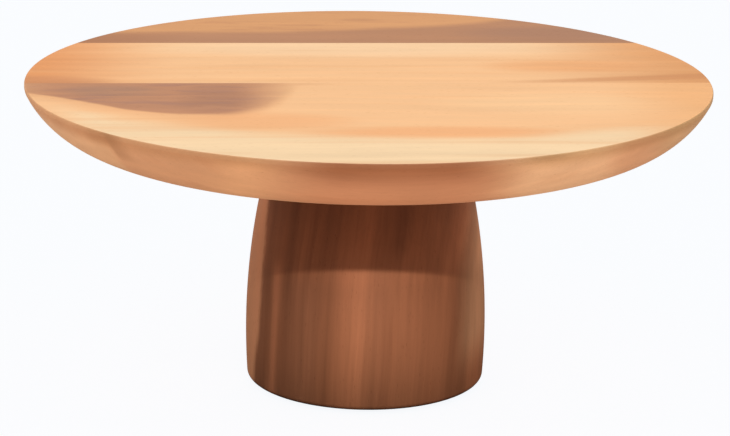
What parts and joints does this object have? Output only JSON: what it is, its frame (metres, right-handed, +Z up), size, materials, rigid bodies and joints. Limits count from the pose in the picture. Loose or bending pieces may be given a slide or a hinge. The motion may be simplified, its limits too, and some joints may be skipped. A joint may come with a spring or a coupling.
{
  "type": "cake stand",
  "caption": "Round wooden pedestal cake stand: a flat turned plate with a curved-under rim on a stout barrel-shaped wooden foot.",
  "frame": {"origin": "centre of the surface that the stand rests on, under the axis of plate and foot", "axes": "+Z up along the turned axis, +X along the grain and the glue lines of the plate's boards, -Y towards the wide front board's rim"},
  "size_m": [0.3, 0.3, 0.137],
  "materials": {
    "plate_wood_back": "oiled satin hardwood, orange-brown with dark heartwood",
    "plate_wood_middle": "oiled satin hardwood, light peach with a faint dark streak",
    "plate_wood_front": "oiled satin hardwood, light peach with dark heartwood and a pale sapwood front",
    "foot_wood": "oiled satin hardwood, reddish brown with dark streaks",
    "insert_steel": "zinc-plated steel",
    "bolt_steel": "black oxide steel",
    "washer_steel": "zinc-plated steel",
    "dowel_wood": "plain beech",
    "pad_felt": "pressed felt, dark brown"
  },
  "bodies": {
    "root": {"plate_board_back": "plate_wood_back", "plate_board_middle": "plate_wood_middle", "plate_board_front": "plate_wood_front", "pedestal": "foot_wood", "threaded_insert": "insert_steel", "centre_bolt": "bolt_steel", "bolt_washer": "washer_steel", "locating_dowels": "dowel_wood", "base_pads": "pad_felt"}
  },
  "joints": []
}
